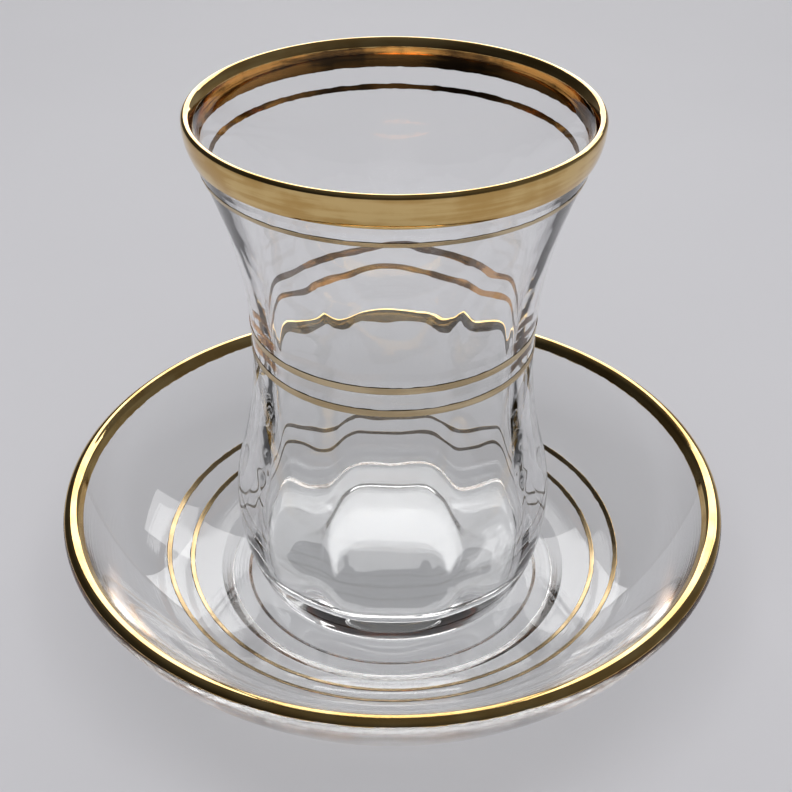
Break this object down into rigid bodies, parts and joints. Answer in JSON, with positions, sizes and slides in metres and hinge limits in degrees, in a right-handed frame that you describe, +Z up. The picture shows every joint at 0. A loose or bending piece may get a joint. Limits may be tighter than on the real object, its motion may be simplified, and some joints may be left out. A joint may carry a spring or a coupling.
{
  "type": "tea glass with saucer",
  "caption": "Waisted clear tea glass with gold bands at lip and waist, standing on a round clear glass saucer with a gold rim and gold rings.",
  "frame": {"origin": "middle of the underside of the saucer's foot ring", "axes": "+Z up along the common axis of the saucer and the glass"},
  "size_m": [0.11, 0.11, 0.0879],
  "materials": {
    "clear_glass": "clear gloss",
    "fired_gold": "polished"
  },
  "bodies": {
    "saucer": {"saucer": "clear_glass", "saucer_rim_band": "fired_gold", "saucer_outer_ring": "fired_gold", "saucer_inner_ring": "fired_gold"},
    "glass": {"tea_glass": "clear_glass", "glass_rim_band": "fired_gold", "glass_shoulder_line": "fired_gold", "glass_upper_waist_line": "fired_gold", "glass_lower_waist_line": "fired_gold"}
  },
  "joints": [
    {"name": "glass_lift", "type": "slide", "parent": "saucer", "child": "glass", "axis": [0, 0, 1], "range_m": [0, 0.08]}
  ]
}
